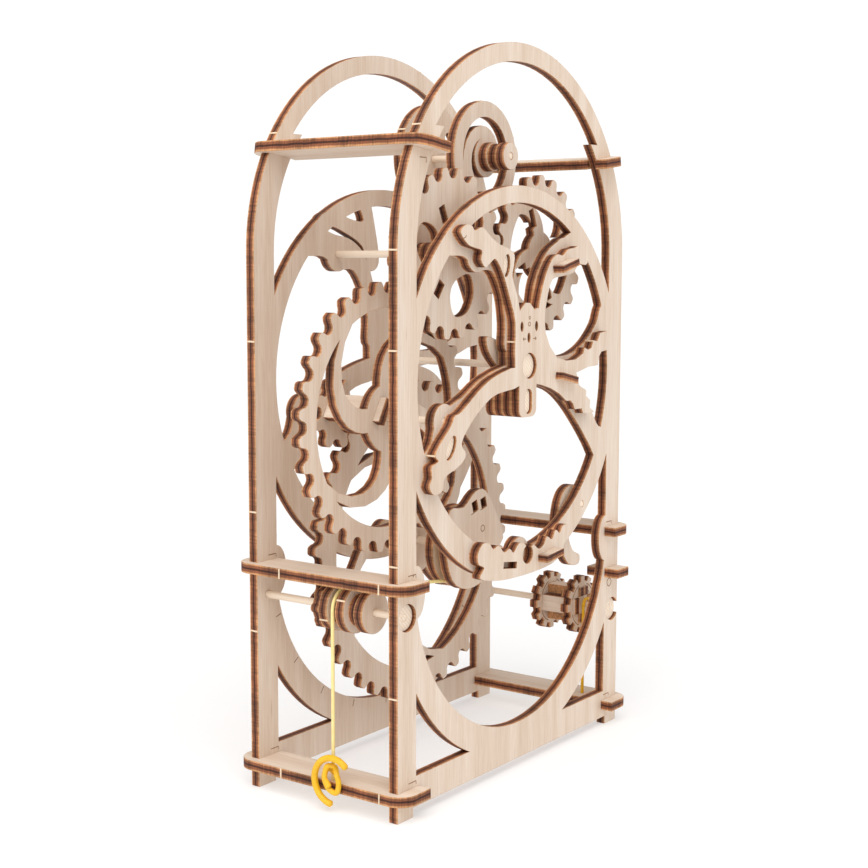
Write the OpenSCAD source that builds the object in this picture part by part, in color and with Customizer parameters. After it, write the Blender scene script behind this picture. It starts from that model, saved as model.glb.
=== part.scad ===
// Wooden gear tower: a laser-cut plywood puzzle of two arched frame plates,
// six slats and a coupled train of toothed wheels on round dowels.
// X runs along the plates, Y from front plate to rear plate, Z up.

/* [Frame] */
// Width of the arched frame plates
frame_w = 145.5; // [135:0.5:160]
// Height of the arched frame plates
frame_h = 260; // [258:1:275]
// Depth over the outer faces of the two plates
frame_d = 64.8; // [64.8:0.2:80]
// Plywood thickness
ply = 3.6; // [3.4:0.1:3.7]
// Width of the frame legs
leg_w = 10.2; // [9.6:0.1:11]
// Band width of the top of the arch
band_w = 6.5; // [5:0.1:8]
// Outer radius of the upper ring
ring_r = 70; // [69:0.5:71]

/* [Slats] */
// Reach of the slats beyond the plates, sideways
slat_out = 3; // [1.5:0.1:5]
// Reach of the slats beyond the plates, front and rear
slat_end = 5; // [4.5:0.1:8]
// Corner radius of the slats
slat_r = 6.8; // [3:0.1:7]
// Tilt of the two top slats
slat_tilt = 8; // [4:0.5:12]

/* [Wheels] */
// Tooth module of the main train
gear_m = 2.8; // [2.76:0.01:2.82]
// Backlash of the teeth on the pitch circle
backlash = 0.7; // [0.6:0.02:0.9]
// Tooth height over the pitch circle, in modules
tooth_add = 0.56; // [0.5:0.01:0.58]

/* [Axles] */
// Diameter of the dowels
dowel_d = 2.6; // [2.2:0.1:3]
// Radial running clearance of a shaft in its bearing
run_gap = 0.06; // [0.04:0.01:0.08]
// Diameter of the bearing plugs on the front plate
plug_d = 9.2; // [8.6:0.1:9.6]
// Radius of the flanges of the left spool
spool_r = 8; // [7.6:0.1:8]
// Radius of the snail ring
snail_r = 20; // [18:0.5:21]

/* [Cord] */
// Thickness of the elastic cord
cord_d = 1.7; // [1.2:0.1:1.8]

/* [Hidden] */
$fn = 64;
e = 0.01;
hw = frame_w / 2;
arch_z = frame_h - hw;
yf = -frame_d / 2;
yr = frame_d / 2;
ring_z = 141;
low_z = 80;
teeth_b = 42;
teeth_a = 32;
teeth_c = 20;
teeth_star = 8;
teeth_pin = 10;
bx = 0;
bz = 79.5;
dist_ba = gear_m * (teeth_b + teeth_star) / 2;
ax = bx - dist_ba * 0.673;
az = bz + dist_ba * sqrt(1 - 0.673 * 0.673);
dist_ac = gear_m * (teeth_a + teeth_pin) / 2;
cx = -gear_m * teeth_c / 2;
cz = az + sqrt(dist_ac * dist_ac - (cx - ax) * (cx - ax));
sx = -67.4;
sz = 68.4;
lx = 68.6;
lz = 46.4;
px = 0;
pz = 147.6;
nx = 7;
nz = 222;
y_a = -8.8;
y_b = 13.2;
y_c = -22.6;
y_lever = -27.6;
gap = 0.35;
rd = dowel_d / 2;
rb = rd + run_gap;
rp = plug_d / 2;
groove_r = 5.8;
cord_r = groove_r + gap + cord_d / 2;
cord_y = -6.4;
drum_r = 11.2;
lap_x = hw - leg_w / 2;
top_lap = 58;
top_z = 222;
lantern_r = 11.6;
tab_out = 4.4;
slot_r = 2.3;
peg_arm = [-48, 122.8];
peg_tip = [-15.2, 183];
tab_mid = [23.4, 141.9];
tab_high = [21, 183];
tab_base = [12.9, 77.5];
mid_z = 78.6;
low_slat_z = 8.4;

birch = [0.87, 0.76, 0.62];
birch_mid = [0.82, 0.69, 0.53];
dowel_col = [0.93, 0.84, 0.70];
cord_col = [0.93, 0.74, 0.12];

// ---- shared outlines -------------------------------------------------

// smooth closed curve through a few points
function cat(p0, p1, p2, p3, t) = 0.5 * ((2 * p1) + (p2 - p0) * t
    + (2 * p0 - 5 * p1 + 4 * p2 - p3) * t * t + (3 * p1 - p0 - 3 * p2 + p3) * t * t * t);
function smooth(p, n = 4) = let (k = len(p)) [for (i = [0:k - 1]) for (j = [0:n - 1])
    cat(p[(i + k - 1) % k], p[i], p[(i + 1) % k], p[(i + 2) % k], j / n)];

// sets the finished puzzle so that the middle of its base is at the origin
home_x = -(ax - gear_m * (teeth_a / 2 + tooth_add) + lx + lantern_r) / 2;
home_y = (ply + tab_out - slat_end) / 2;
module home() translate([home_x, home_y, 0]) children();

// lays an XZ outline down as a plate whose front face is at y
module plate(y, t = ply) {
    translate([0, y + t, 0]) rotate([90, 0, 0]) linear_extrude(t) children();
}

module ybar(x, z, y0, y1, r) {
    translate([x, y0, z]) rotate([-90, 0, 0]) cylinder(r = r, h = y1 - y0);
}

// involute flank: polar angle offset at radius r for base radius b
function inv(r, b) = r <= b ? 0 : sqrt(r * r / (b * b) - 1) * 180 / PI - acos(b / r);

// one gear tooth as [radius, half angle] pairs, up the round gullet and over the rounded tip
function flank(n, ad, de) = let (r = gear_m * n / 2, b = r * cos(24),
    half = 90 / n - backlash / 4 / r * 180 / PI, h0 = half + inv(r, b),
    tip = r + ad * gear_m, root = r - de * gear_m, w = min(r * sin(180 / n - half) - 0.1, de * gear_m - 0.15))
    concat([for (t = [14, 36, 60, 82]) let (q = root + w - w * cos(t)) [q, 180 / n - asin(w * sin(t) / q)]],
        [for (u = [0, 0.4, 0.7, 0.9]) let (q = r + u * ad * gear_m) [q, (h0 - inv(q, b)) * (1 - 0.2 * u * u * u)]],
        [[tip, (h0 - inv(tip, b)) * 0.5]]);

function gear_pts(n, ad, de) = let (f = flank(n, ad, de), m = len(f) - 1)
    [for (i = [0:n - 1]) for (s = [-1, 1]) for (k = [0:m])
    let (q = s < 0 ? f[k] : f[m - k], a = 90 + 360 / n * i + s * q[1]) q[0] * [cos(a), sin(a)]];

module gear2d(n, ad = tooth_add, de = 0.86) {
    polygon(gear_pts(n, ad, de));
}

// a curved spoke from r0 to r1 starting at angle a0 and sweeping s degrees
module spoke(r0, r1, a0, s, w) {
    polygon(concat([for (i = [0:8]) let (t = i / 8, r = r0 + (r1 - r0) * t,
        a = a0 + s * t * t + w / 2 / r * 180 / PI) r * [cos(a), sin(a)]],
        [for (i = [8:-1:0]) let (t = i / 8, r = r0 + (r1 - r0) * t,
        a = a0 + s * t * t - w / 2 / r * 180 / PI) r * [cos(a), sin(a)]]));
}

module spoked(r_rim, r_hub, n, a0, s, w) {
    difference() {
        circle(r_rim);
        circle(r_hub);
        for (i = [0:n - 1]) spoke(r_hub - 1, r_rim + 1, a0 + 360 / n * i, s, w);
    }
}

// ---- frame -----------------------------------------------------------

module lap_cut() {
    for (s = [-1, 1]) {
        translate([s * (lap_x + 10), low_slat_z]) square([20, ply], center = true);
        translate([s * (lap_x + 10), mid_z]) square([20, ply], center = true);
        translate([s * top_lap, top_z]) rotate(s * slat_tilt) translate([s * 12, 0])
            square([24, ply], center = true);
    }
}

// outline with the ring, the lower hoop and the foot bar
module shell2d() {
    difference() {
        union() {
            translate([-hw, 0]) square([frame_w, arch_z]);
            translate([0, arch_z]) circle(hw, $fn = 96);
        }
        difference() {
            union() {
                translate([-hw + leg_w, low_z]) square([frame_w - 2 * leg_w, 107.2]);
                translate([0, arch_z]) intersection() {
                    circle(hw - leg_w, $fn = 96);
                    translate([-80, -5]) square([160, 46]);
                }
                translate([0, arch_z]) intersection() {
                    circle(hw - band_w, $fn = 96);
                    translate([-60, 41]) square([120, 40]);
                }
                translate([0, low_z]) circle(63.2, $fn = 96);
            }
            translate([0, ring_z]) circle(ring_r, $fn = 96);
            translate([-hw - 1, 2]) square([leg_w + 1, 90]);
            translate([hw - leg_w, 2]) square([leg_w + 1, 90]);
            for (s = [-1, 1]) translate([s * (hw - leg_w), 76]) scale([0.55, 1]) circle(9);
        }
        translate([0, ring_z + 2]) circle(ring_r - 8, $fn = 96);
        for (s = [-1, 1]) difference() {
            translate([s > 0 ? 20 : -hw + leg_w, 13.8]) square([hw - leg_w - 20, 34]);
            translate([0, low_z]) circle(73.2, $fn = 96);
        }
        translate([-hw + leg_w - 1.6, -1]) square([frame_w - 2 * leg_w + 3.2, 4.2]);
        lap_cut();
    }
}

// lug under the middle body with the slot for the flat peg
module lug2d() {
    translate([-6.6, 132.4]) square([11.3, 9.8]);
    translate([-3.6, 129.4]) square([5.3, 4]);
    for (x = [-3.6, 1.7]) translate([x, 132.4]) circle(3);
}
module slot2d(r) {
    for (z = [132.7, 137.1]) translate([-0.5, z]) circle(r);
    translate([-0.5 - r, 132.7]) square([2 * r, 4.4]);
}

// arms and bearing bosses inside the upper ring
module arms2d(lug = false) {
    offset(delta = e) intersection() {
        translate([0, ring_z]) circle(ring_r - 1);
        union() {
            translate([-9.5, 140.8]) square([19, 27]);
            if (lug) lug2d();
            polygon(smooth([[8, 150.6], [24, 149.6], [35, 150.4], [45, 154.4], [53, 161], [57, 168],
                [66, 172], [66, 153], [55, 149.4], [45, 146.6], [30, 144.5], [8, 143]]));
            polygon(smooth([[4, 146], [20, 144], [31, 140.6], [40, 134], [50, 127.6], [56, 121],
                [66, 118], [60, 100], [52.5, 110], [48, 115.5], [40, 123.5], [30, 132], [20, 137.4], [6, 141]]));
            polygon(smooth([[-4, 148], [-13, 147.6], [-26, 144], [-36, 139], [-46, 135.4], [-52, 131],
                [-55, 124], [-62, 118], [-60, 108], [-50, 113], [-45, 121], [-38, 127], [-28, 133],
                [-18, 138], [-4, 141]]));
            polygon(smooth([[-5, 152], [-10.6, 154], [-10.6, 163], [-13, 173], [-19, 181], [-28, 181.5],
                [-36, 186], [-46, 187], [-40, 196], [-30, 194], [-20, 192], [-12, 186], [-6.6, 174],
                [-4, 163]]));
            polygon(smooth([[5, 154], [10.8, 160], [12, 170], [17, 178], [26, 182], [36, 184], [46, 184],
                [40, 196], [28, 193], [17, 188], [9, 178], [6, 168], [0, 162]]));
            translate([ax, az]) circle(6);
            translate([cx, cz]) circle(6.2);
            translate([-cx, cz]) circle(6.2);
        }
    }
}

module bores2d(front) {
    translate([ax, az]) circle(rb);
    translate([cx, cz]) circle(rd);
    translate([-cx, cz]) circle(rd);
    if (front) {
        translate([sx, sz]) circle(rp + run_gap);
        translate([lx, lz]) circle(rp + run_gap);
        translate([px, pz]) circle(rp + run_gap);
        translate([44, 92]) circle(rd);
        translate([66.8, 62]) square([8.8, 3.6], center = true);
    } else {
        translate([sx, sz]) circle(rb);
        translate([lx, lz]) circle(rb);
        translate([px, pz]) circle(rb);
    }
}

module front_plate() home() color(birch) plate(yf) difference() {
    union() {
        shell2d();
        arms2d(true);
        translate([bx, bz]) circle(6);
    }
    bores2d(true);
    translate([bx, bz]) circle(rb);
    slot2d(slot_r);
}

module rear_plate() home() color(birch) plate(yr - ply) difference() {
    union() {
        shell2d();
        arms2d();
        translate([bx, bz]) circle(6);
        offset(delta = e) polygon(smooth([[-38, 199], [-26, 195.5], [-14, 190], [-9.4, 181],
            [-4, 184], [-6, 196], [-10, 207.6], [-17, 207.4], [-13, 199.6], [-19, 199.4],
            [-28, 201.6], [-34, 202]]));
    }
    bores2d(false);
    translate([bx, bz]) circle(rb);
}

// ---- ornaments on the front plate -------------------------------------

module ornament2d() {
    difference() {
        offset(delta = e) union() {
            polygon([[-9.4, 141], [9.4, 141], [9.6, 166], [5, 168], [3, 167.4], [0, 169.8],
                [-3, 170], [-6, 167.8], [-9.3, 164]]);
            lug2d();
            // right arm with the stepped end
            polygon([[4, 164], [9.8, 164], [10.6, 159], [13.6, 154], [18.7, 149.6], [25.5, 148.1],
                [32, 148.2], [37.6, 150.3], [38.4, 152.4], [41, 151.4], [43.6, 152], [45, 154.8],
                [48, 154.4], [50, 157.4], [55.4, 158], [53.6, 152], [51, 150.2], [49.2, 148.2],
                [48.6, 145.2], [41.5, 145], [32.5, 143.2], [26, 142], [9, 140.6], [0, 148]]);
            // lower right arm
            polygon([[9, 144], [32.8, 143], [35, 138.2], [40.2, 136.2], [40, 134.2], [43.2, 132.2],
                [42.8, 129.6], [46.6, 127.4], [38, 127.6], [36.8, 129.6], [31.8, 129.6],
                [30.6, 131.8], [28.6, 133.2], [25.6, 133.2], [20.8, 136.2], [14.8, 138.6],
                [8.6, 140.2], [4, 141]]);
            // long arm to the lower left
            polygon(smooth([[-8, 147.4], [-22, 145], [-32, 140.6], [-42, 134.4], [-46, 133.2],
                [-48.2, 130], [-55, 124], [-57, 121], [-55.2, 119], [-59, 117.6], [-58.8, 114],
                [-60.2, 111], [-57.6, 108.2], [-53, 109], [-52, 113], [-47, 115], [-42, 117],
                [-39.4, 120], [-42, 124], [-35.4, 131], [-27, 136.5], [-20, 139], [-6, 141]], 3));
            // upper left arm with the leaf
            polygon(smooth([[-9.4, 150], [-9.4, 163], [-13.2, 172], [-17.4, 180], [-22, 185.2],
                [-25.2, 184], [-28.4, 182.4], [-31, 185], [-30.4, 188], [-35, 189], [-39, 190.2],
                [-43, 194], [-40, 196.4], [-36.6, 196.2], [-34.6, 194.6], [-30, 195.8],
                [-25, 192.6], [-19, 190], [-13.4, 188.6], [-10.4, 186.6], [-10.8, 183], [-11.6, 179],
                [-8.4, 172.6], [-6.6, 167], [-4, 160]], 3));
            // upper right arm
            polygon(smooth([[4, 160], [5.8, 168], [7.4, 173], [10.2, 179.4], [14.6, 185.2], [18.4, 187],
                [22, 186.6], [25.6, 188.8], [30, 189.4], [33.4, 190], [34, 186], [30, 180.6],
                [22, 179.2], [15, 178], [12, 173], [10, 166], [9.4, 160]], 3));
        }
        translate([px, pz]) circle(rp + run_gap);
        for (p = [[-5.2, 161.6], [4.4, 161.6], [-0.6, 157.6]]) translate(p) scale([0.55, 1]) circle(1.8);
        slot2d(slot_r);
        translate(peg_arm) rotate(60) scale([1, 0.48]) circle(4.5);
        translate(peg_tip) rotate(80) scale([1, 0.5]) circle(4);
        translate(tab_mid) rotate(-12) square([11.2, 2.6], center = true);
        translate(tab_high) rotate(14) square([11.4, 2.6], center = true);
    }
}
module front_ornament() home() color(birch) plate(yf - ply) ornament2d();

module shrub_ornament() home() color(birch) plate(yf - ply) difference() {
    polygon(smooth([[-30.5, 75.6], [-28, 79], [-31.4, 80.8], [-32, 84.4], [-29, 87.6], [-25, 87.2],
        [-22.4, 84.8], [-19, 85.6], [-15.6, 82.6], [-12, 83.4], [-9.4, 81.6], [-6, 84.4], [-2, 83.6],
        [0.6, 80.6], [3.6, 82.6], [7.4, 80.4], [11, 81.6], [13, 84.2], [16.6, 82.6], [19, 85.8],
        [22, 84.2], [24, 86.6], [28, 86.2], [26, 80.6], [20, 74.4], [8, 72.6], [-8, 72.4],
        [-20, 73.2]], 3));
    translate([bx, bz]) circle(3.4);
    translate(tab_base) rotate(6) square([11.6, 2.6], center = true);
    translate([-11.6, 77.4]) rotate(-8) square([8.6, 2.4], center = true);
}

module tongue_stack() home() color(birch_mid) plate(yf + ply, 2 * ply) difference() {
    lug2d();
    slot2d(slot_r);
}
module tongue_peg() home() color(dowel_col) plate(yf - ply + 1, 4 * ply - 1) slot2d(slot_r - run_gap);

module slat2d(u_in, lap) {
    difference() {
        union() {
            hull() for (s = [-1, 1])
                translate([slat_r - lap - slat_out, s * (yr + slat_end - slat_r)]) circle(slat_r);
            translate([slat_r - lap - slat_out, yf - slat_end])
                square([u_in - slat_r + lap + slat_out, frame_d + 2 * slat_end]);
        }
        for (y = [yf, yr - ply]) translate([0, y]) square([40, ply]);
    }
}

// side -1 left, 1 right; x is where the lap ends, z the middle of the slat
module slat(side, x, z, tilt, u_in, lap) {
    color(birch) translate([side * x, 0, z]) rotate([0, -side * tilt, 0]) scale([-side, 1, 1])
        translate([0, 0, -ply / 2]) linear_extrude(ply) slat2d(u_in, lap);
}

module slat_top_left() home() slat(-1, top_lap, top_z, slat_tilt, 7.4, 5.6);
module slat_top_right() home() slat(1, top_lap, top_z, slat_tilt, 7.4, 5.6);
module slat_mid_left() home() slat(-1, lap_x, mid_z, 0, 5.8, leg_w / 2);
module slat_mid_right() home() slat(1, lap_x, mid_z, 0, 5.8, leg_w / 2);
module slat_low_left() home() slat(-1, lap_x, low_slat_z, 0, 6.6, leg_w / 2);
module slat_low_right() home() slat(1, lap_x, low_slat_z, 0, 6.6, leg_w / 2);

// slim arm from the upper right dowel to the snail
module snail_bracket() home() color(birch_mid) plate(17.2) difference() {
    polygon(smooth([[nx - 5.4, nz], [nx - 3.8, nz + 4], [nx, nz + 5.4], [nx + 4, nz + 3.8],
        [nx + 7, nz - 6], [16, cz + 20], [-cx - 4, cz + 9], [-cx + 4.4, cz + 4], [-cx + 5.4, cz],
        [-cx + 4, cz - 4], [-cx, cz - 5.4], [-cx - 4.6, cz - 3], [-cx - 8, cz + 6], [10, cz + 17],
        [nx - 2, nz - 8]]));
    translate([-cx, cz]) circle(rd);
    translate([nx, nz]) circle(rb);
}

module dowel_upper_left() home() color(dowel_col) ybar(cx, cz, yf, yr, rd);
module dowel_upper_right() home() color(dowel_col) ybar(-cx, cz, yf, yr, rd);

// pegs and tabs that hold the ornaments
module peg_leaf() home() color(dowel_col) plate(yf - ply + 1, ply - 1)
    translate(peg_tip) rotate(80) scale([1, 0.5]) circle(4 - 2 * run_gap);
module peg_left() home() color(dowel_col) plate(yf - ply + 1, ply - 1)
    translate(peg_arm) rotate(60) scale([1, 0.48]) circle(4.5 - 2 * run_gap);
module tab_right() home() color(birch_mid) translate([tab_mid[0], yf - ply - 3.2, tab_mid[1]])
    rotate([0, 12, 0]) translate([-5.6, 0, -1.3]) cube([11.2, ply + 3.2, 2.6]);
module tab_upper_right() home() color(birch_mid) translate([tab_high[0], yf - ply - tab_out, tab_high[1]])
    rotate([0, -14, 0]) translate([-5.7, 0, -1.3]) cube([11.4, ply + tab_out, 2.6]);
module tab_lower() home() color(birch_mid) translate([tab_base[0], yf - ply - 4, tab_base[1]])
    rotate([0, -6, 0]) translate([-5.8, 0, -1.3]) cube([11.6, ply + 4, 2.6]);
module side_peg() home() color(birch_mid) translate([62.4, yf - 6, 60.2]) cube([8.8, 14, 3.6]);

// ---- great wheel -----------------------------------------------------

module great_wheel() home() color(birch) translate([bx, 0, bz]) plate(y_b) difference() {
    rotate(90 / teeth_b * 0) gear2d(teeth_b);
    spoked(48.5, 12.5, 5, 20, 52, 6.4);
    circle(rd);
}
module great_arbor() home() color(dowel_col) ybar(bx, bz, yf - 0.4, yr, rd);
module drum2d(r) translate([bx, bz]) difference() {
    circle(r);
    circle(rd);
}
module drum_flange_front() home() color(birch) plate(cord_y - 1.8 - ply) translate([bx, bz]) difference() {
    polygon(smooth([[-14.6, 15.4], [-5.9, 15.6], [1.9, 20.6], [8.7, 20], [15.6, 11], [20.8, 0.4],
        [12.3, -5.4], [9, -13], [-3, -15.4], [-13, -10.4], [-17, 3]], 3));
    circle(rd);
    translate([1.6, 15]) rotate(16) square([3.4, 4], center = true);
    translate([7.2, 15.6]) rotate(16) square([3.4, 4], center = true);
}
module drum_core() home() color(birch_mid) plate(cord_y - 1.8) drum2d(drum_r);
module drum_flange_rear() home() color(birch) plate(cord_y - 1.8 + ply) drum2d(drum_r + 4);
module cord_coil() home() color(cord_col) translate([bx, cord_y, bz]) rotate([90, 0, 0])
    rotate_extrude() translate([drum_r, 0]) intersection() {
        circle(cord_d / 2);
        translate([0, -2]) square([3, 4]);
    }

// ---- second wheel with the star pinion --------------------------------

mesh_ba = atan2(az - bz, ax - bx);
mesh_ac = atan2(cz - az, cx - ax);
function rel(th, n, th0) = (th - 90 - th0) / (360 / n) - floor((th - 90 - th0) / (360 / n));
rot_b = 0;
rot_star = mesh_ba + 180 - 90 - (360 / teeth_star) * (0.5 - rel(mesh_ba, teeth_b, rot_b));
rot_a = rot_star;
rot_pin = mesh_ac + 180 - 90 - (360 / teeth_pin) * (0.5 - rel(mesh_ac, teeth_a, rot_a));
rot_c = rot_pin;
rot_d = 180 - 90 - (360 / teeth_c) * (0.5 - rel(0, teeth_c, rot_c));

module rung_slots() for (s = [-1, 1]) translate([0, s * 5.4]) square([9, 3.6], center = true);

module second_wheel() home() color(birch) translate([ax, 0, az]) plate(y_a) rotate(rot_a) difference() {
    gear2d(teeth_a);
    spoked(37.6, 12, 4, 30, -58, 8.4);
    circle(rd);
    rung_slots();
}
module star_pinion() home() color(birch_mid) translate([ax, 0, az]) plate(y_b) rotate(rot_a) difference() {
    gear2d(teeth_star, 0.5, 0.8);
    circle(rd);
    translate([0, 0]) for (s = [-1, 1]) translate([0, s * 4.9]) square([6, 2.6], center = true);
}
module rung2d() {
    for (s = [-1, 1]) children();
}
module rung(s) color(birch_mid) translate([ax, 0, az]) rotate([0, -rot_a, 0]) {
    translate([-4.5, y_a - 2.6, s * 5.4 - 1.8]) cube([9, y_b - y_a + 2.6, 3.6]);
    translate([-3, y_b, s * 4.9 - 1.3]) cube([6, ply + 1, 2.6]);
}
module rung_upper() home() rung(1);
module rung_lower() home() rung(-1);
module second_arbor() home() color(dowel_col) ybar(ax, az, yf, yr, rd);

// ---- upper wheels ----------------------------------------------------

module third_wheel() home() color(birch) translate([cx, 0, cz]) plate(y_c) rotate(rot_c) difference() {
    gear2d(teeth_c, 0.5);
    circle(rb);
    for (a = [0, 120, 240]) rotate(a) polygon(smooth([[9, -3], [13, -7.6], [20, -7.4], [21.6, 0],
        [17, 6], [10, 6]]));
    for (a = [62, 182, 302]) rotate(a) translate([14.6, 0]) square([6, 3.4], center = true);
}
module third_pinion() home() color(birch_mid) translate([cx, 0, cz]) plate(y_a) rotate(rot_pin) difference() {
    gear2d(teeth_pin, 0.5);
    circle(rb);
}
module third_sleeve() home() color(birch_mid) difference() {
    ybar(cx, cz, y_c + ply, y_a, 4);
    ybar(cx, cz, y_c + ply - 1, y_a + 1, rb);
}
module fourth_wheel() home() color(birch) translate([-cx, 0, cz]) plate(y_c) rotate(rot_d) difference() {
    gear2d(teeth_c, 0.5);
    circle(rb);
    spoked(20.4, 8.6, 4, 10, 30, 7);
    for (a = [0:90:270]) rotate(a + 24) translate([14.4, 0]) square([7, 3], center = true);
}

// ---- snail drum ------------------------------------------------------

module snail_ring() home() color(birch) translate([nx, 0, nz]) plate(-12) difference() {
    circle(snail_r, $fn = 96);
    difference() {
        circle(snail_r - 5.6, $fn = 96);
        circle(7.2);
        polygon(concat([for (i = [0:16]) let (a = -30 + i * 17, r = 6.6 + i * 0.62)
            r * [cos(a), sin(a)]], [for (i = [16:-1:0]) let (a = -30 + i * 17, r = 2.6 + i * 0.52)
            r * [cos(a), sin(a)]]));
    }
    circle(rd);
}
module snail_disc() home() color(birch_mid) translate([nx, 0, nz]) plate(11.4) difference() {
    circle(snail_r, $fn = 96);
    circle(rd);
    for (a = [20, 140, 260]) rotate(a) polygon(smooth([[8, -4], [12, -7], [15.4, -3], [15, 5], [10, 6]]));
}
module snail_knob() home() color(birch_mid) for (i = [0:2]) translate([nx, 0, nz])
    plate(-12 - ply * (i + 1)) difference() {
        circle([5.2, 4.6, 4.9][i]);
        circle(rd);
    }
module snail_arbor() home() color(dowel_col) ybar(nx, nz, -12 - 3 * ply, 17.2 + ply, rd);

// ---- left spool ------------------------------------------------------

module ring2d(r) difference() {
    circle(r);
    circle(rd);
}
module spool_ratchet() home() color(birch) translate([sx, 0, sz]) plate(-1) difference() {
    union() {
        circle(spool_r - 1.2);
        for (a = [0:45:315]) rotate(a) translate([spool_r - 1.8, 0]) circle(1.6);
    }
    circle(rd);
}
module spool_flanges() home() color(birch) translate([sx, 0, sz]) {
    plate(-1 - ply) ring2d(spool_r);
    plate(-1 - 3 * ply) ring2d(spool_r);
    plate(-1 - 5 * ply) ring2d(spool_r - 0.8);
}
module spool_cores() home() color(birch_mid) translate([sx, 0, sz]) {
    plate(-1 - 2 * ply) ring2d(groove_r);
    plate(-1 - 4 * ply) ring2d(groove_r - 0.4);
}
module spool_arbor() home() color(dowel_col) ybar(sx, sz, yf + 1.4, yr, rd);
module plug(x, z, y0, y1) difference() {
    ybar(x, z, y0, y1, rp);
    ybar(x, z, y0 - 1, y1 + 1, rd);
}
module spool_plug() home() color(dowel_col) plug(sx, sz, yf + 1.4, yf + ply + 1);

// ---- right lantern wheel ---------------------------------------------

module lantern2d() difference() {
    union() {
        circle(9.6);
        for (a = [0:30:330]) rotate(a) translate([0, -1.5]) square([lantern_r, 3]);
    }
    circle(rd);
    for (a = [0:90:270]) rotate(a) translate([5.4, 0]) square([3.6, 6.4], center = true);
}
module lantern_front() home() color(birch) translate([lx, 0, lz]) plate(-19) lantern2d();
module lantern_rear() home() color(birch) translate([lx, 0, lz]) plate(-4.6) lantern2d();
module lantern_rungs() home() color(birch_mid) translate([lx, 0, lz]) for (a = [0:90:270])
    rotate([0, -a, 0]) translate([3.6, -19.6, -3.2]) cube([3.6, 19.2, 6.4]);
module lantern_arbor() home() color(dowel_col) ybar(lx, lz, yf + 1.4, yr, rd);
module lantern_plug() home() color(dowel_col) plug(lx, lz, yf + 1.4, yf + ply + 1);

// ---- levers ----------------------------------------------------------

module pallet_lever() home() color(birch_mid) plate(y_lever) difference() {
    polygon(smooth([[-5, 145], [-13, 152], [-15, 158], [-9, 157], [-3, 153.6], [4, 153.6], [10, 157.4],
        [16, 158], [14, 151.6], [6, 144.6], [3, 143.2], [-3, 143.2]]));
    translate([px, pz]) circle(rd);
}
module pallet_arbor() home() color(dowel_col) {
    ybar(px, pz, yf - ply + 1.2, y_lever, rp);
    ybar(px, pz, y_lever, yr, rd);
}

module pawl_lever() home() color(birch_mid) plate(y_lever) difference() {
    polygon(smooth([[44, 99], [51.6, 96.6], [53, 90], [49, 85.6], [44.6, 84], [42.6, 79], [46, 73],
        [51, 70.4], [50, 67], [43, 68], [38, 73.4], [34, 80], [34.6, 90], [38, 96.6]]));
    translate([44, 92]) circle(rb);
    translate([42, 84]) circle(1.5);
}
module pawl_pin() home() color(dowel_col) ybar(44, 92, yf, y_lever + ply + 1.6, rd);

// ---- elastic cord ----------------------------------------------------

cord_x = sx - cord_r;
drum_t = drum_r + gap + cord_d / 2 + 0.6;
strand_dx = bx - sx;
strand_dz = bz - sz;
strand_l = sqrt(strand_dx * strand_dx + strand_dz * strand_dz);
strand_a = atan2(strand_dz, strand_dx) - asin((cord_r + drum_t) / strand_l);
module cord_left() home() color(cord_col) {
    translate([cord_x, cord_y, low_slat_z + ply / 2])
        cylinder(r = cord_d / 2, h = sz - low_slat_z - ply / 2);
    translate([cord_x, cord_y, sz]) sphere(cord_d / 2 + 0.08);
    translate([sx, cord_y, sz]) rotate([90, 0, 0]) rotate([0, 0, strand_a + 90])
        rotate_extrude(angle = 90 - strand_a) translate([cord_r, 0]) circle(cord_d / 2);
    translate([sx - cord_r * sin(strand_a), cord_y, sz + cord_r * cos(strand_a)]) {
        sphere(cord_d / 2 + 0.08);
        rotate([0, 90 - strand_a, 0]) cylinder(r = cord_d / 2,
            h = sqrt(strand_l * strand_l - pow(cord_r + drum_t, 2)) - 0.4);
    }
}
module cord_knot() home() color(cord_col) translate([-hw - slat_out - 1.5, cord_y - 2.1, low_slat_z + 2.6])
    rotate([0, -90, 0]) {
        rotate([0, 0, -43]) rotate_extrude(angle = 223) translate([8, 0]) circle(1.2);
        rotate([0, 0, -30]) rotate_extrude(angle = 200) translate([3.8, 0]) circle(1.1);
        rotate([0, 0, 60]) translate([3.8, 0, 0]) rotate([0, 90, 0]) cylinder(r = 0.8, h = 4.2);
    }
hook_r = rd + gap + cord_d / 2;
right_cord_y = -19.6 - gap - cord_d / 2;
module cord_right() home() color(cord_col) {
    translate([lx - hook_r, right_cord_y, low_slat_z + ply / 2])
        cylinder(r = cord_d / 2, h = lz - low_slat_z - ply / 2);
    translate([lx - hook_r, right_cord_y, lz]) sphere(cord_d / 2 + 0.08);
    translate([lx, right_cord_y, lz]) rotate([90, 0, 0]) rotate([0, 0, -60])
        rotate_extrude(angle = 240) translate([hook_r, 0]) circle(cord_d / 2);
}

front_plate();
rear_plate();
front_ornament();
shrub_ornament();
tongue_stack();
slat_top_left();
slat_top_right();
slat_mid_left();
slat_mid_right();
slat_low_left();
slat_low_right();
tongue_peg();
snail_bracket();
dowel_upper_left();
dowel_upper_right();
peg_leaf();
peg_left();
tab_right();
tab_upper_right();
tab_lower();
side_peg();
great_wheel();
great_arbor();
drum_flange_front();
drum_core();
drum_flange_rear();
cord_coil();
second_wheel();
star_pinion();
rung_upper();
rung_lower();
second_arbor();
third_wheel();
third_pinion();
third_sleeve();
fourth_wheel();
snail_ring();
snail_disc();
snail_knob();
snail_arbor();
spool_ratchet();
spool_flanges();
spool_cores();
spool_arbor();
spool_plug();
lantern_front();
lantern_rear();
lantern_rungs();
lantern_arbor();
lantern_plug();
pallet_lever();
pallet_arbor();
pawl_lever();
pawl_pin();
cord_left();
cord_knot();
cord_right();
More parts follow.
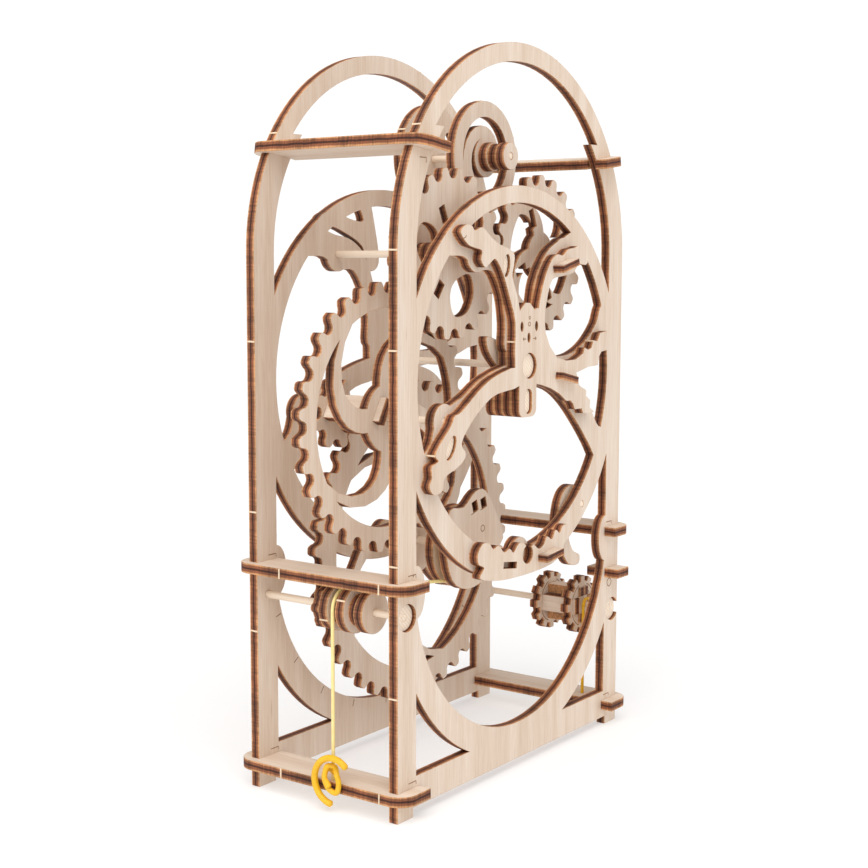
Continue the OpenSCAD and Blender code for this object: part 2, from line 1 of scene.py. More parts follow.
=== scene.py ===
import bpy, bmesh, math
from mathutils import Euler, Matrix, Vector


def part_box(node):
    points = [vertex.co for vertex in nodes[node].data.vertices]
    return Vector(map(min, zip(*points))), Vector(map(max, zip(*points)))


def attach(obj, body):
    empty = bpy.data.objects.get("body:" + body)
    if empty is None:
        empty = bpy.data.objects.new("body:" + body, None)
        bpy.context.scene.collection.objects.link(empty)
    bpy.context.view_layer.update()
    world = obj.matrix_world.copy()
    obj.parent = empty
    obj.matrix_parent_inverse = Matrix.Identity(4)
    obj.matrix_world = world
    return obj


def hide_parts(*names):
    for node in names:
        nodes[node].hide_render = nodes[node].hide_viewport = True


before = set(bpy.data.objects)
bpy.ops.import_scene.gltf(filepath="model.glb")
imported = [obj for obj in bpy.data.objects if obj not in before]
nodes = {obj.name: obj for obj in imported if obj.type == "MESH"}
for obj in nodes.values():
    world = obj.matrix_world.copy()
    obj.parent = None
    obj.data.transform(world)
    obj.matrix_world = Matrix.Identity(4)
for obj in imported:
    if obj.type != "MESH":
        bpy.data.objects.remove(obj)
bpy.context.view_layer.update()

# ---- Camera, table and light -----------------------------------------------
# The finished puzzle stands on a seamless white sweep in a small studio. One large
# softbox hangs over its front left corner and two weaker ones fill in from the sides.
camera_place = (-0.448651, -0.322710, 0.183980)
camera_turn = (83.5417, -0.1252, -54.0388)
camera_lens = 62.824
lamps_aim = Vector((0, 0, 0.12))
lamp_tint = (1.0, 0.975, 0.945)
sweep_half = 12.0
softboxes = [  # name, place, size across, watts
    ("overhead_softbox", (-0.70, -0.45, 1.50), 1.5, 20.0),
    ("right_fill", (0.55, -1.5, 0.70), 1.3, 4.0),
    ("left_fill", (-1.5, 0.25, 0.55), 1.2, 5.5),
]


def linear(code):
    """An sRGB hex colour as linear red, green, blue, alpha."""
    parts = [int(code[i:i + 2], 16) / 255 for i in (1, 3, 5)]
    return tuple(c / 12.92 if c <= 0.04045 else ((c + 0.055) / 1.055) ** 2.4 for c in parts) + (1.0,)


def put(tree, kind, wires=None, **settings):
    """Adds one node with its settings; wires gives each input a value or a socket."""
    made = tree.nodes.new(kind)
    for name, value in settings.items():
        setattr(made, name, value)
    for name, value in (wires or {}).items():
        if isinstance(value, bpy.types.NodeSocket):
            tree.links.new(value, made.inputs[name])
        else:
            made.inputs[name].default_value = value
    return made


def placed(name, data):
    """A new object that shows data, linked into the scene."""
    made = bpy.data.objects.new(name, data)
    bpy.context.scene.collection.objects.link(made)
    return made


def finish(name):
    """An empty node material and its tree."""
    mat = bpy.data.materials.new(name)
    mat.use_nodes = True
    mat.node_tree.nodes.clear()
    return mat, mat.node_tree


camera = placed("camera", bpy.data.cameras.new("camera"))
camera.location = camera_place
camera.rotation_euler = Euler([math.radians(a) for a in camera_turn])
camera.data.lens = camera_lens
camera.data.sensor_width = 36
camera.data.clip_start, camera.data.clip_end = 0.01, 100
bpy.context.scene.camera = camera
bpy.context.scene.view_settings.view_transform = "Standard"

for name, place, size, watts in softboxes:
    lamp = placed(name, bpy.data.lights.new(name, "AREA"))
    lamp.data.energy, lamp.data.size = watts, size
    lamp.data.color = lamp_tint
    lamp.location = place
    lamp.rotation_euler = (lamps_aim - lamp.location).to_track_quat("-Z", "Y").to_euler()

world = bpy.data.worlds.new("white_studio")
world.use_nodes = True
bpy.context.scene.world = world
tree = world.node_tree
tree.nodes.clear()
seen = put(tree, "ShaderNodeBackground", {"Color": (1, 1, 1, 1), "Strength": 1.05})
cast = put(tree, "ShaderNodeBackground", {"Color": linear("#FBFAFA"), "Strength": 0.62})
ray = put(tree, "ShaderNodeLightPath")
both = put(tree, "ShaderNodeMixShader", {0: ray.outputs["Is Camera Ray"], 1: cast.outputs[0],
                                         2: seen.outputs[0]})
put(tree, "ShaderNodeOutputWorld", {"Surface": both.outputs[0]})

# matt white painted board: a faint mottle keeps it from looking printed
board, tree = finish("matt_white_board")
coord = put(tree, "ShaderNodeTexCoord")
mottle = put(tree, "ShaderNodeTexNoise", {"Vector": coord.outputs["Object"], "Scale": 9.0, "Detail": 3.0})
tone = put(tree, "ShaderNodeMix", {0: mottle.outputs["Fac"], 6: linear("#FCFBFB"), 7: linear("#FFFFFF")},
           data_type="RGBA")
paint = put(tree, "ShaderNodeBsdfPrincipled", {"Base Color": tone.outputs[2], "Roughness": 0.85,
                                               "Specular IOR Level": 0.2})
# painted glow: the board partly glows instead of being lit, about 0.42 emission near the object to brighten
# it and thin its shadow, and it runs out into pure emitted white about half a metre off
level = put(tree, "ShaderNodeVectorMath", {0: coord.outputs["Object"]}, operation="LENGTH")
glow_share = put(tree, "ShaderNodeMapRange", {"Value": level.outputs["Value"], "From Min": 0.14, "From Max": 0.48,
                                       "To Min": 0.42})
painted_floor_glow = put(tree, "ShaderNodeEmission", {"Color": (1, 1, 1, 1), "Strength": 1.05})
glow_blend = put(tree, "ShaderNodeMixShader", {0: glow_share.outputs[0], 1: paint.outputs[0], 2: painted_floor_glow.outputs[0]})
put(tree, "ShaderNodeOutputMaterial", {"Surface": glow_blend.outputs[0]})

mesh = bpy.data.meshes.new("white_sweep")
corners = [(x * sweep_half, y * sweep_half, 0) for x, y in ((-1, -1), (1, -1), (1, 1), (-1, 1))]
mesh.from_pydata(corners, [], [(0, 1, 2, 3)])
floor = placed("white_sweep", mesh)
mesh.materials.append(board)

# ---- Arched frame plates -----------------------------------------------------
# Two arched plates of thin birch plywood stand face to face. They are laser-cut, so the
# faces stay pale and show straight grain while every cut wall is scorched brown.
ply = 0.0036
half_wide, arch_middle, outer_y, front_mid, rear_mid = 72.75, 187.25, 32.4, -30.6, 30.6  # millimetres
birch_pale, birch_tan = "#E8D9CA", "#D3BCA6"
char_dark, char_mid, char_rim = "#3C1D12", "#7C4A30", "#B9875C"
pore_brown = "#AD8A6B"
fibre_width = 0.00055
plate_low, plate_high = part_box("front_plate")
mid_x = (plate_low.x + plate_high.x) / 2
mid_y = plate_low.y + outer_y / 1000


def spot(x, y, z):
    """A point given in millimetres from the middle of the frame's foot."""
    return Vector((mid_x + x / 1000, mid_y + y / 1000, z / 1000))


def plywood(name, across, start, stretch, hub=None):
    """Laser-cut birch plywood: pale matt veneer on the faces, three scorched plies on the cut walls.
    across is the direction through the sheet, start where the sheet begins along it, and stretch
    flattens the pattern along the grain. With hub, the sheets stand round an axle at that point."""
    mat, tree = finish(name)
    coord = put(tree, "ShaderNodeTexCoord")
    place, turned = coord.outputs["Object"], coord.outputs["Normal"]
    through = across
    if hub is not None:
        away = put(tree, "ShaderNodeMapping", {"Vector": place, "Location": -hub})
        level = put(tree, "ShaderNodeVectorMath", {0: away.outputs[0], 1: (1, 0, 1)}, operation="MULTIPLY")
        through = put(tree, "ShaderNodeVectorMath", {0: level.outputs[0]}, operation="NORMALIZE").outputs[0]
    facing = put(tree, "ShaderNodeVectorMath", {0: turned, 1: through}, operation="DOT_PRODUCT")
    facing = put(tree, "ShaderNodeMath", {0: facing.outputs["Value"]}, operation="ABSOLUTE")
    low, high = (0.72, 0.80) if hub is not None else (0.90, 0.97)
    veneer = put(tree, "ShaderNodeMapRange", {"Value": facing.outputs[0], "From Min": low, "From Max": high})
    # straight birch fibre, about half a millimetre wide, and slow changes of tone from board to board
    straight = put(tree, "ShaderNodeMapping", {"Vector": place, "Scale": stretch})
    fibre = put(tree, "ShaderNodeTexNoise", {"Vector": straight.outputs[0], "Scale": 1 / fibre_width,
                                             "Detail": 3.0, "Roughness": 0.62})
    band = put(tree, "ShaderNodeTexNoise", {"Vector": straight.outputs[0], "Scale": 170.0, "Detail": 2.0})
    fibre_tone = put(tree, "ShaderNodeMapRange", {"Value": fibre.outputs["Fac"], "From Min": 0.30,
                                                  "From Max": 0.72, "To Min": 0.0, "To Max": 0.55})
    band_tone = put(tree, "ShaderNodeMapRange", {"Value": band.outputs["Fac"], "From Min": 0.3,
                                                 "From Max": 0.7, "To Min": 0.0, "To Max": 0.6})
    mixed = put(tree, "ShaderNodeMath", {0: fibre_tone.outputs[0], 1: band_tone.outputs[0]}, operation="ADD")
    wood = put(tree, "ShaderNodeMix", {0: mixed.outputs[0], 6: linear(birch_pale),
                                        7: linear(birch_tan)}, data_type="RGBA")
    # short dark pores, drawn a little coarser than life so that they show
    pores = put(tree, "ShaderNodeTexNoise", {"Vector": straight.outputs[0], "Scale": 2600.0, "Detail": 1.0})
    pores = put(tree, "ShaderNodeMapRange", {"Value": pores.outputs["Fac"], "From Min": 0.68,
                                             "From Max": 0.80, "To Min": 0.0, "To Max": 0.45})
    wood = put(tree, "ShaderNodeMix", {0: pores.outputs[0], 6: wood.outputs[2], 7: linear(pore_brown)},
               data_type="RGBA")
    # the cut wall: veneer, core, veneer, each burnt to its own brown
    depth = put(tree, "ShaderNodeVectorMath", {0: place, 1: across}, operation="DOT_PRODUCT")
    depth = put(tree, "ShaderNodeMath", {0: depth.outputs["Value"], 1: start}, operation="SUBTRACT")
    depth = put(tree, "ShaderNodeMath", {0: depth.outputs[0], 1: ply}, operation="DIVIDE")
    wave = put(tree, "ShaderNodeTexNoise", {"Vector": place, "Scale": 260.0, "Detail": 2.0})
    wave = put(tree, "ShaderNodeMapRange", {"Value": wave.outputs["Fac"], "To Min": -0.09, "To Max": 0.09})
    depth = put(tree, "ShaderNodeMath", {0: depth.outputs[0], 1: wave.outputs[0]}, operation="ADD")
    depth = put(tree, "ShaderNodeMath", {0: depth.outputs[0]}, operation="FRACT")
    burnt = put(tree, "ShaderNodeValToRGB", {"Fac": depth.outputs[0]})
    stops = [(0.0, char_rim), (0.11, char_rim), (0.23, char_mid), (0.40, char_mid), (0.46, char_dark),
             (0.58, char_dark), (0.66, char_mid), (0.84, char_mid), (0.91, char_rim), (1.0, char_rim)]
    ramp = burnt.color_ramp
    for i, (at, code) in enumerate(stops):
        stop = ramp.elements[i] if i < 2 else ramp.elements.new(at)
        stop.position = at
        stop.color = linear(code)
    # the beam leaves fine ribs down the wall, about a quarter millimetre apart
    ribs_map = put(tree, "ShaderNodeMapping", {"Vector": place,
                                               "Scale": [0.06 if abs(a) > 0.7 else 1.0 for a in across]})
    ribs = put(tree, "ShaderNodeTexNoise", {"Vector": ribs_map.outputs[0], "Scale": 1500.0, "Detail": 2.0})
    soot = put(tree, "ShaderNodeTexNoise", {"Vector": place, "Scale": 90.0, "Detail": 2.0})
    shade = put(tree, "ShaderNodeMath", {0: ribs.outputs["Fac"], 1: soot.outputs["Fac"]}, operation="ADD")
    shade = put(tree, "ShaderNodeMapRange", {"Value": shade.outputs[0], "From Min": 0.75, "From Max": 1.25,
                                             "To Min": 0.60, "To Max": 1.45})
    burnt = put(tree, "ShaderNodeVectorMath", {0: burnt.outputs[0], "Scale": shade.outputs[0]},
                operation="SCALE")
    skin = put(tree, "ShaderNodeMix", {0: veneer.outputs[0], 6: burnt.outputs[0], 7: wood.outputs[2]},
               data_type="RGBA")
    rough = put(tree, "ShaderNodeMapRange", {"Value": fibre.outputs["Fac"], "To Min": 0.58, "To Max": 0.78})
    relief = put(tree, "ShaderNodeBump", {"Height": fibre.outputs["Fac"], "Strength": 0.30,
                                          "Distance": 0.00012})
    body = put(tree, "ShaderNodeBsdfPrincipled", {"Base Color": skin.outputs[2],
                                                  "Roughness": rough.outputs[0],
                                                  "Normal": relief.outputs[0],
                                                  "Specular IOR Level": 0.35})
    put(tree, "ShaderNodeOutputMaterial", {"Surface": body.outputs[0]})
    return mat


def soften(piece, width=0.00012):
    """Joins the sheet's facets and takes the sharp arris off its cut edges."""
    weld = piece.modifiers.new("joined_facets", "WELD")
    weld.merge_threshold = 0.000004
    flat = piece.modifiers.new("flat_faces", "DECIMATE")
    flat.decimate_type = "DISSOLVE"
    flat.angle_limit = math.radians(0.5)
    arris = piece.modifiers.new("soft_arris", "BEVEL")
    arris.width = width
    arris.segments = 1
    arris.limit_method = "ANGLE"
    arris.angle_limit = math.radians(40)


def dress(node, mat):
    """Gives a frame node its finish."""
    piece = nodes[node]
    for place in piece.material_slots:
        place.material = mat
    return piece


def sheet_way(node):
    """The direction through a sheet, taken from the widest of its faces, and where it starts."""
    areas = {}
    for poly in nodes[node].data.polygons:
        turned = poly.normal if poly.normal.dot(Vector((0.31, 0.52, 0.79))) > 0 else -poly.normal
        way = tuple(round(c, 2) for c in turned)
        areas[way] = areas.get(way, 0) + poly.area
    across = Vector(max(areas, key=areas.get)).normalized()
    return across, min(across.dot(v.co) for v in nodes[node].data.vertices)


upright, along_y = (1.0, 1.0, 0.035), (1.0, 0.035, 1.0)
sheets = {}


def dress_sheet(node):
    """A sheet that lies parallel to the frame plates; sheets at the same depth share a finish."""
    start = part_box(node)[0].y
    key = round(start % ply, 5)
    if key not in sheets:
        sheets[key] = plywood(f"laser_cut_birch_ply_{len(sheets)}", (0, 1, 0), start, upright)
    soften(dress(node, sheets[key]))


def dress_edgewise(node):
    """A sheet that stands or lies across the plates, with its grain from front to rear."""
    across, start = sheet_way(node)
    soften(dress(node, plywood("birch_" + node, across, start, along_y)))


for plate in ("front_plate", "rear_plate"):
    dress_sheet(plate)

# ---- Bridge stubs on the cut edges ---------------------------------------------
# The parts come held in their sheet by thin bridges. Each leaves a pale snapped stub, a
# full sheet thick and half a millimetre wide, standing just proud of the scorched edge.
stub_wide, stub_tall, stub_rag = 0.00055, 0.00022, 0.00005

stub_wood, tree = finish("snapped_birch_bridge")
coord = put(tree, "ShaderNodeTexCoord")
torn = put(tree, "ShaderNodeTexNoise", {"Vector": coord.outputs["Object"], "Scale": 2200.0, "Detail": 3.0})
tone = put(tree, "ShaderNodeMix", {0: torn.outputs["Fac"], 6: linear("#F4E4CE"), 7: linear("#D9B88F")},
           data_type="RGBA")
relief = put(tree, "ShaderNodeBump", {"Height": torn.outputs["Fac"], "Strength": 0.5, "Distance": 0.0002})
body = put(tree, "ShaderNodeBsdfPrincipled", {"Base Color": tone.outputs[2], "Roughness": 0.8,
                                              "Normal": relief.outputs[0]})
put(tree, "ShaderNodeOutputMaterial", {"Surface": body.outputs[0]})

stub_tree = bpy.data.node_groups.new("bridge_stubs", "GeometryNodeTree")
face = stub_tree.interface
face.new_socket("Geometry", in_out="INPUT", socket_type="NodeSocketGeometry")
for name in ("Width", "Thickness", "Height"):
    face.new_socket(name, in_out="INPUT", socket_type="NodeSocketFloat")
face.new_socket("Geometry", in_out="OUTPUT", socket_type="NodeSocketGeometry")
given = put(stub_tree, "NodeGroupInput")
size = put(stub_tree, "ShaderNodeCombineXYZ", {"X": given.outputs["Height"], "Y": given.outputs["Thickness"],
                                               "Z": given.outputs["Width"]})
block = put(stub_tree, "GeometryNodeMeshCube", {"Size": size.outputs[0], "Vertices X": 3, "Vertices Y": 4,
                                                "Vertices Z": 3})
outward = put(stub_tree, "GeometryNodeInputNamedAttribute", {"Name": "outward"}, data_type="FLOAT_VECTOR")
turn = put(stub_tree, "FunctionNodeAlignRotationToVector", {"Vector": outward.outputs[0]}, axis="X",
           pivot_axis="Y")
stubs = put(stub_tree, "GeometryNodeInstanceOnPoints", {"Points": given.outputs["Geometry"],
                                                        "Instance": block.outputs["Mesh"],
                                                        "Rotation": turn.outputs[0]})
real = put(stub_tree, "GeometryNodeRealizeInstances", {0: stubs.outputs[0]})
waste = put(stub_tree, "FunctionNodeRandomValue", {"Seed": 7}, data_type="FLOAT_VECTOR")
waste.inputs[0].default_value = (-stub_rag,) * 3
waste.inputs[1].default_value = (stub_rag,) * 3
rag = put(stub_tree, "GeometryNodeSetPosition", {"Geometry": real.outputs[0], "Offset": waste.outputs[0]})
skin = put(stub_tree, "GeometryNodeSetMaterial", {"Geometry": rag.outputs[0], "Material": stub_wood})
put(stub_tree, "NodeGroupOutput", {0: skin.outputs[0]})


def plain_mesh(name, seed, group, sizes):
    """Runs a geometry tree on a seed mesh and keeps the result as a plain piece."""
    base = placed(name + "_seed", seed)
    maker = base.modifiers.new("maker", "NODES")
    maker.node_group = group
    for item in group.interface.items_tree:
        if item.in_out == "INPUT" and item.name in sizes:
            maker[item.identifier] = sizes[item.name]
    grown = base.evaluated_get(bpy.context.evaluated_depsgraph_get())
    mesh = bpy.data.meshes.new_from_object(grown)
    mesh.name = name
    bpy.data.objects.remove(base)
    return placed(name, mesh)


def bridge_stubs(name, spots, body, flat=False):
    """spots holds x, y, z of each stub's middle in millimetres, and the angle that its edge faces.
    flat is for sheets that lie level, whose thickness is upright."""
    seed = bpy.data.meshes.new(name + "_seed")
    seed.from_pydata([spot(x, y, z) for x, y, z, a in spots], [], [])
    way = seed.attributes.new("outward", "FLOAT_VECTOR", "POINT")
    for i, (x, y, z, a) in enumerate(spots):
        way.data[i].vector = (math.cos(math.radians(a)), 0, math.sin(math.radians(a)))
    thick = ply - 0.0001
    plain = plain_mesh(name, seed, stub_tree, {"Width": thick if flat else stub_wide,
                                               "Thickness": stub_wide if flat else thick,
                                               "Height": stub_tall * 2})
    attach(plain, body)


def round_rim(x, z, r, places):
    """Stubs on a round edge; places holds the depth and the angle of each."""
    return [(x + r * math.cos(math.radians(a)), y, z + r * math.sin(math.radians(a)), a) for y, a in places]


bridge_stubs("frame_bridge_stubs",
             [(-half_wide, front_mid, z, 180) for z in (42, 86, 156, 188)]
             + [(-half_wide, rear_mid, z, 180) for z in (56, 98, 157)]
             + [(half_wide, front_mid, z, 0) for z in (30, 110, 170)]
             + [(half_wide, rear_mid, z, 0) for z in (48, 102, 164)]
             + round_rim(0, arch_middle, half_wide,
                         [(y, a) for y in (front_mid, rear_mid) for a in (35, 72, 146)]), "frame")

# ---- Engraved marks ---------------------------------------------------------------
# The laser also scores assembly marks into the faces at low power: short brown lines a
# third of a millimetre wide beside the joints, and an even scale round the lower hoop.
score_wide, score_tall = 0.00034, 0.00003

score_brown, tree = finish("laser_scored_birch")
coord = put(tree, "ShaderNodeTexCoord")
faded = put(tree, "ShaderNodeTexNoise", {"Vector": coord.outputs["Object"], "Scale": 900.0, "Detail": 2.0})
tone = put(tree, "ShaderNodeMix", {0: faded.outputs["Fac"], 6: linear("#6F4A33"), 7: linear("#A88361")},
           data_type="RGBA")
body = put(tree, "ShaderNodeBsdfPrincipled", {"Base Color": tone.outputs[2], "Roughness": 0.85})
put(tree, "ShaderNodeOutputMaterial", {"Surface": body.outputs[0]})


def arc(x, z, r, a0, a1, steps=10):
    """Points of an arc in the plane of the plates, in millimetres and degrees."""
    return [(x + r * math.cos(math.radians(a0 + (a1 - a0) * i / steps)),
             z + r * math.sin(math.radians(a0 + (a1 - a0) * i / steps))) for i in range(steps + 1)]


def scored(name, lines, y, facing, body):
    """Scored lines on a face at depth y that looks towards facing (-1 front, 1 rear)."""
    made = bmesh.new()
    for line in lines:
        ends = [spot(px, y, pz) for px, pz in line]
        rows = []
        for i, p in enumerate(ends):
            along = (ends[min(i + 1, len(ends) - 1)] - ends[max(i - 1, 0)]).normalized()
            side = Vector((-along.z, 0, along.x)) * score_wide / 2
            lift = Vector((0, facing * score_tall, 0))
            rows.append([made.verts.new(q) for q in (p + side, p + side + lift, p - side + lift, p - side)])
        for a, b in zip(rows, rows[1:]):
            for i in range(4):
                made.faces.new((a[i], a[(i + 1) % 4], b[(i + 1) % 4], b[i]))
        made.faces.new(rows[0])
        made.faces.new(rows[-1])
    bmesh.ops.recalc_face_normals(made, faces=made.faces)
    mesh = bpy.data.meshes.new(name)
    made.to_mesh(mesh)
    mesh.materials.append(score_brown)
    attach(placed(name, mesh), body)


def corner(x, z, w, h):
    """A hooked assembly mark above a joint."""
    return [(x, z), (x + w, z), (x + w, z - h)]


scored("front_plate_marks",
       [corner(-67, 82.2, 4.2, 1.1), [(-64.2, 82.2), (-64.2, 81.5)], corner(63, 82.2, 4.4, 1.1),
        corner(-66.8, 12.2, 4.2, 1.1), corner(62.8, 12.2, 4.2, 1.1), corner(-61, 217.5, 3.6, 1.6),
        arc(66.2, 57.6, 1.6, 0, 360, 16), arc(66.4, 79.0, 1.3, 0, 360, 14)], -outer_y, -1, "frame")
hoop_z, hoop_marks, rear_face = 80, (63.8, 66.6), 28.8
scored("rear_plate_scale",
       [[(r * math.cos(math.radians(a)), hoop_z + r * math.sin(math.radians(a))) for r in hoop_marks]
        for a in range(198, 350, 18)] + [corner(-67, 82.2, 4, 1.1), corner(-66.6, 12.2, 4, 1.1)],
       rear_face, -1, "frame")
scored("rear_plate_back_marks",
       [corner(s * 66 - 2, z, 4, 1.6) for s in (-1, 1) for z in (82.2, 12.2)], outer_y, 1, "frame")

# ---- Slats ----------------------------------------------------------------------
# Six rounded slats of the same plywood lie flat across the two plates. Each is halved
# onto the legs; the top pair slopes with the arch, so its sheet direction is tipped.
for node in ("slat_top_left", "slat_top_right", "slat_mid_left", "slat_mid_right", "slat_low_left",
             "slat_low_right"):
    dress_edgewise(node)

slat_edge = 75.75
bridge_stubs("slat_bridge_stubs",
             [(side * slat_edge, y, z, 90 - 90 * side) for z in (78.6, 8.4)
              for side, y in ((-1, -27), (-1, 16), (1, -20), (1, 25))], "frame", flat=True)

# ---- Ornaments --------------------------------------------------------------------
# A second laser-cut layer sits on the front plate: the leafy arms round the middle body,
# the low shrub under the ring and the tongue behind them, pegged through both layers.
for node in ("front_ornament", "shrub_ornament", "tongue_stack"):
    dress_sheet(node)
ornament_face, ornament_mid = -36, -34.2
scored("ornament_marks",
       [[(-4.4, 157.2), (-2.4, 157.2)], [(-3.8, 156.6), (-4.4, 157.2), (-3.8, 157.8)],
        [(2.2, 157.2), (4.2, 157.2)], [(3.6, 156.6), (4.2, 157.2), (3.6, 157.8)],
        arc(-0.4, 162.4, 0.7, 0, 360, 10), arc(-0.2, 164.6, 0.5, 0, 360, 8),
        arc(-41.5, 194, 2.0, 200, 330, 8)], ornament_face, -1, "frame")
bridge_stubs("ornament_bridge_stubs",
             [(x, ornament_mid, z, a) for x, z, a in
              ((-9.4, 156.4, 180), (9.5, 162.4, 0), (1, 142.6, 270), (35.6, 137.9, 35),
               (-57.2, 121, 170), (44.9, 154.6, 10))], "frame")

# ---- Wheels -----------------------------------------------------------------------
# Four toothed wheels and two pinions are cut from the same sheet, the wheels with curved
# spokes. Their grain runs upright, and the beam has browned the flank of every tooth.
for node in ("great_wheel", "second_wheel", "third_wheel", "fourth_wheel", "star_pinion",
             "third_pinion", "snail_bracket"):
    dress_sheet(node)

# ---- Spools, drum and snail ---------------------------------------------------------
# Small plywood discs are stacked on their dowels to make the cord drum, the left spool, the
# lantern wheel and the snail; each disc shows as one scorched band. The levers are single sheets.
for node in ("drum_flange_front", "drum_core", "drum_flange_rear", "spool_ratchet", "spool_flanges",
             "spool_cores", "lantern_front", "lantern_rear", "snail_ring", "snail_disc", "snail_knob",
             "pallet_lever", "pawl_lever"):
    dress_sheet(node)
dress("third_sleeve", sheets[next(iter(sheets))])

lantern_x, lantern_z = 68.6, 46.4
dress("lantern_rungs", plywood("standing_birch_rungs", (1, 0, 0), 0.0, along_y,
                               hub=spot(lantern_x, 0, lantern_z)))
for node in ("rung_upper", "rung_lower", "tab_right", "tab_upper_right", "tab_lower", "side_peg"):
    dress_edgewise(node)

lantern_scale = [arc(lantern_x, lantern_z, 8.6, a, a + 50) for a in (20, 110, 200, 290)]
scored("lantern_front_scale",
       lantern_scale + [arc(lantern_x + 3.8, lantern_z + 3.8, 1.2, 0, 180, 6)], -19, -1, "lantern")
scored("lantern_rear_scale", lantern_scale, -4.6, -1, "lantern")

snail_x, snail_z, snail_r = 7, 222, 20
bridge_stubs("snail_bridge_stubs",
             round_rim(snail_x, snail_z, snail_r,
                       ((-10.2, 24), (-10.2, 98), (-10.2, 212), (13.2, 150), (13.2, 290))), "snail")
spool_x, spool_z, spool_r = -67.4, 68.4, 8
bridge_stubs("spool_bridge_stubs",
             round_rim(spool_x, spool_z, spool_r,
                       ((-2.8, 205), (-2.8, 70), (-10.0, 150), (-10.0, 300))), "spool")
cheek_face = -11.8
scored("drum_cheek_marks",
       [[(-1.0, 91.6), (3.0, 92.8)], [(5.0, 92.6), (9.4, 93.8)], arc(6.6, 85.6, 1.2, 0, 360, 14)],
       cheek_face, -1, "great")

# ---- Dowels, plugs and pegs ------------------------------------------------------
# The axles are drawn birch dowels, paler and smoother than the sheet, with fine grain
# along them. Their ends are sawn, so they show close rings and drink in a little colour.
dowel_pale, dowel_tan, dowel_end = "#F8EAD9", "#EBD5BB", "#E0C29D"
dowel_arris = 0.00025

dowel_wood, tree = finish("sanded_birch_dowel")
coord = put(tree, "ShaderNodeTexCoord")
straight = put(tree, "ShaderNodeMapping", {"Vector": coord.outputs["Object"], "Scale": along_y})
fibre = put(tree, "ShaderNodeTexNoise", {"Vector": straight.outputs[0], "Scale": 2100.0, "Detail": 3.0})
side = put(tree, "ShaderNodeMix", {0: fibre.outputs["Fac"], 6: linear(dowel_pale), 7: linear(dowel_tan)},
           data_type="RGBA")
rings = put(tree, "ShaderNodeTexWave", {"Vector": coord.outputs["Object"], "Scale": 420.0,
                                        "Distortion": 2.5, "Detail": 2.0}, wave_type="BANDS",
            bands_direction="DIAGONAL")
rings_tone = put(tree, "ShaderNodeMapRange", {"Value": rings.outputs["Fac"], "To Min": 0.0, "To Max": 0.5})
end = put(tree, "ShaderNodeMix", {0: rings_tone.outputs[0], 6: linear(dowel_pale), 7: linear(dowel_end)},
          data_type="RGBA")
facing = put(tree, "ShaderNodeSeparateXYZ", {0: coord.outputs["Normal"]})
facing = put(tree, "ShaderNodeMath", {0: facing.outputs["Y"]}, operation="ABSOLUTE")
sawn = put(tree, "ShaderNodeMapRange", {"Value": facing.outputs[0], "From Min": 0.8, "From Max": 0.9})
skin = put(tree, "ShaderNodeMix", {0: sawn.outputs[0], 6: side.outputs[2], 7: end.outputs[2]},
           data_type="RGBA")
relief = put(tree, "ShaderNodeBump", {"Height": fibre.outputs["Fac"], "Strength": 0.2, "Distance": 0.0001})
body = put(tree, "ShaderNodeBsdfPrincipled", {"Base Color": skin.outputs[2], "Roughness": 0.55,
                                              "Normal": relief.outputs[0], "Specular IOR Level": 0.4})
put(tree, "ShaderNodeOutputMaterial", {"Surface": body.outputs[0]})

for node in ("dowel_upper_left", "dowel_upper_right", "great_arbor", "second_arbor", "snail_arbor",
             "spool_arbor", "spool_plug", "lantern_arbor", "lantern_plug", "pallet_arbor", "pawl_pin",
             "peg_leaf", "peg_left", "tongue_peg"):
    soften(dress(node, dowel_wood), dowel_arris)

# ---- Rubber cord -----------------------------------------------------------------
# A yellow rubber cord ties the low slat to the drum over the left spool. It is moulded,
# matt, slightly stretched and so paler in the long run, and thick where it is knotted.
cord_yellow, cord_deep, cord_stretched, cord_shade = "#F6C81E", "#E3AA12", "#F8E9A8", "#EFD98A"
cord_radius, knot_radius, loop_radius = 0.00062, 0.00115, 0.00095


def rubber(name, light, deep):
    """Moulded natural rubber: soft sheen, faint powdery bloom, tiny lengthwise ribs."""
    mat, tree = finish(name)
    uv = put(tree, "ShaderNodeUVMap", uv_map="along_cord")
    coord = put(tree, "ShaderNodeTexCoord")
    bloom = put(tree, "ShaderNodeTexNoise", {"Vector": coord.outputs["Object"], "Scale": 700.0,
                                             "Detail": 3.0})
    ribs = put(tree, "ShaderNodeTexWave", {"Vector": uv.outputs[0], "Scale": 3.0, "Distortion": 0.6},
               bands_direction="X")
    tone = put(tree, "ShaderNodeMix", {0: bloom.outputs["Fac"], 6: linear(light), 7: linear(deep)},
               data_type="RGBA")
    relief = put(tree, "ShaderNodeBump", {"Height": ribs.outputs["Fac"], "Strength": 0.25,
                                          "Distance": 0.0001})
    rough = put(tree, "ShaderNodeMapRange", {"Value": bloom.outputs["Fac"], "To Min": 0.42, "To Max": 0.62})
    body = put(tree, "ShaderNodeBsdfPrincipled", {"Base Color": tone.outputs[2],
                                                  "Roughness": rough.outputs[0],
                                                  "Normal": relief.outputs[0],
                                                  "Subsurface Weight": 0.15, "Subsurface Scale": 0.001,
                                                  "Coat Weight": 0.08, "Coat Roughness": 0.4})
    put(tree, "ShaderNodeOutputMaterial", {"Surface": body.outputs[0]})
    return mat


